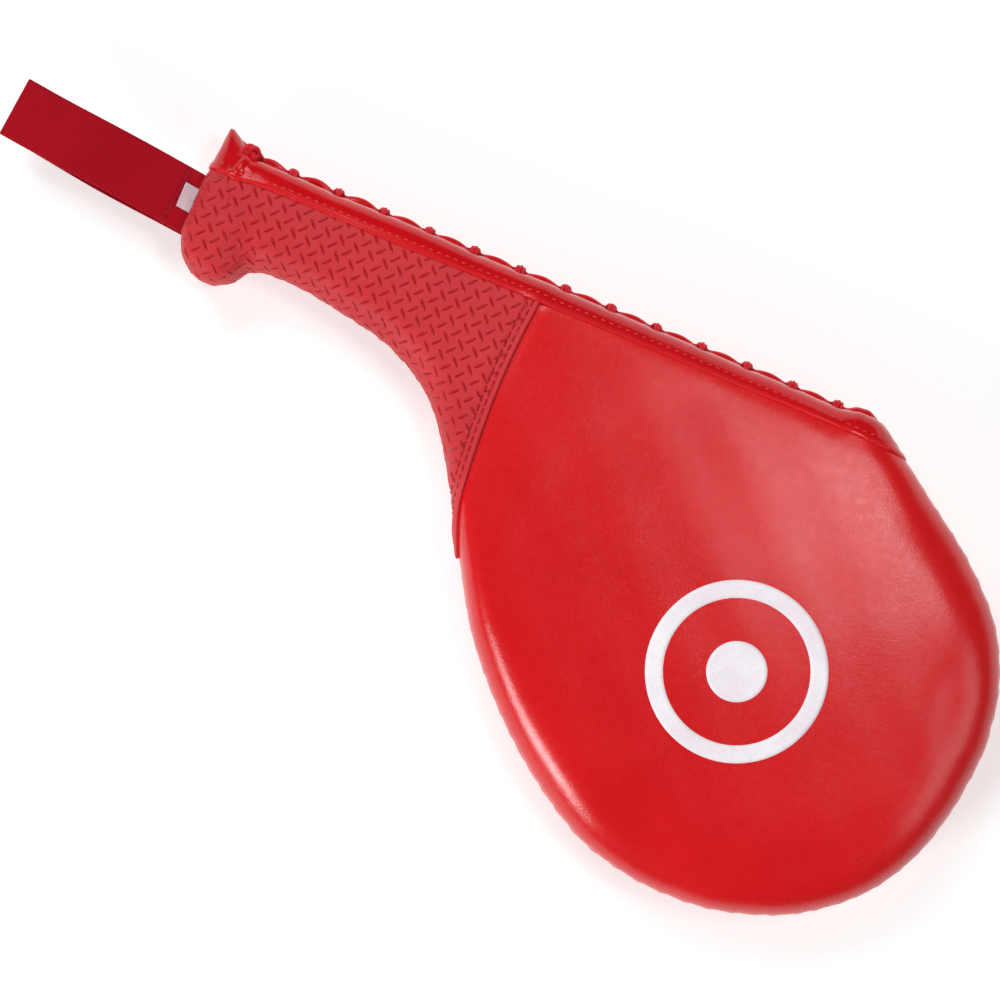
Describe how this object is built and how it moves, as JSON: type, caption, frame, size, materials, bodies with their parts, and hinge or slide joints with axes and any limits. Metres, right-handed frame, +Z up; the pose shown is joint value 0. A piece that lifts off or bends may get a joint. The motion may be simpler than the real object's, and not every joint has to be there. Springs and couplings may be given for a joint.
{
  "type": "kick paddle",
  "caption": "Racket-shaped padded kick paddle with a textured grip, a cover laced along one straight edge and an elastic wrist loop at the butt.",
  "frame": {"origin": "centre of the blade's back face, which the paddle lies on", "axes": "+X from the grip to the blade along the laced edge, +Y across the blade towards the laced edge, +Z up through the thickness to the printed face"},
  "size_m": [0.4574, 0.2098, 0.0402],
  "materials": {
    "cover": "fine-grained synthetic leather, semi-gloss",
    "grip": "matte rubberised fabric with an embossed pattern",
    "facing": "smooth glossy vinyl",
    "foam": "closed-cell foam",
    "core": "stiff board",
    "cord": "braided cord",
    "thread": "sewing thread",
    "print": "matte ink",
    "elastic": "twill-woven elastic",
    "label": "woven satin label"
  },
  "bodies": {
    "paddle": {"core_plate": "core", "blade_foam_front": "foam", "blade_foam_back": "foam", "grip_foam_front": "foam", "grip_foam_back": "foam", "blade_cover_front": "cover", "blade_cover_back": "cover", "grip_cover_front": "grip", "grip_cover_back": "grip", "lace_facing_front": "facing", "lace_facing_back": "facing", "facing_stitches_front": "thread", "facing_stitches_back": "thread", "seam_stitches_front": "thread", "seam_stitches_back": "thread", "lace_cord": "cord", "lace_knots": "cord", "lace_start_knot": "cord", "printed_target": "print", "strap_anchor": "elastic"},
    "strap_base": {"strap_root": "elastic", "care_label": "label"},
    "upper_inner_ply": {"strap_upper_inner": "elastic"},
    "upper_outer_ply": {"strap_upper_outer": "elastic"},
    "lower_inner_ply": {"strap_lower_inner": "elastic"},
    "lower_outer_ply": {"strap_lower_outer": "elastic"}
  },
  "joints": [
    {"name": "strap_swing", "type": "hinge", "parent": "paddle", "child": "strap_base", "pos_m": [-0.27289, 0.07884, 0.02], "axis": [0.0993, 0.9951, 0], "range_deg": [-55, 55], "stiffness_Nm_per_rad": 0.12},
    {"name": "loop_open", "type": "hinge", "parent": "strap_base", "child": "upper_inner_ply", "pos_m": [-0.28189, 0.07974, 0.0209], "axis": [0.0993, 0.9951, 0], "range_deg": [-5, 45], "stiffness_Nm_per_rad": 0.03},
    {"name": "upper_bend", "type": "hinge", "parent": "upper_inner_ply", "child": "upper_outer_ply", "pos_m": [-0.31612, 0.08315, 0.02452], "axis": [0.0993, 0.9951, 0], "range_deg": [-90, 10]},
    {"name": "lower_root_bend", "type": "hinge", "parent": "strap_base", "child": "lower_inner_ply", "pos_m": [-0.28189, 0.07974, 0.0191], "axis": [0.0993, 0.9951, 0], "range_deg": [-45, 5]},
    {"name": "lower_bend", "type": "hinge", "parent": "lower_inner_ply", "child": "lower_outer_ply", "pos_m": [-0.31612, 0.08315, 0.01548], "axis": [0.0993, 0.9951, 0], "range_deg": [-10, 90]}
  ],
  "couplings": [
    {"joint": "upper_bend", "follows": "loop_open", "ratio": -2},
    {"joint": "lower_root_bend", "follows": "loop_open", "ratio": -1},
    {"joint": "lower_bend", "follows": "loop_open", "ratio": 2}
  ]
}
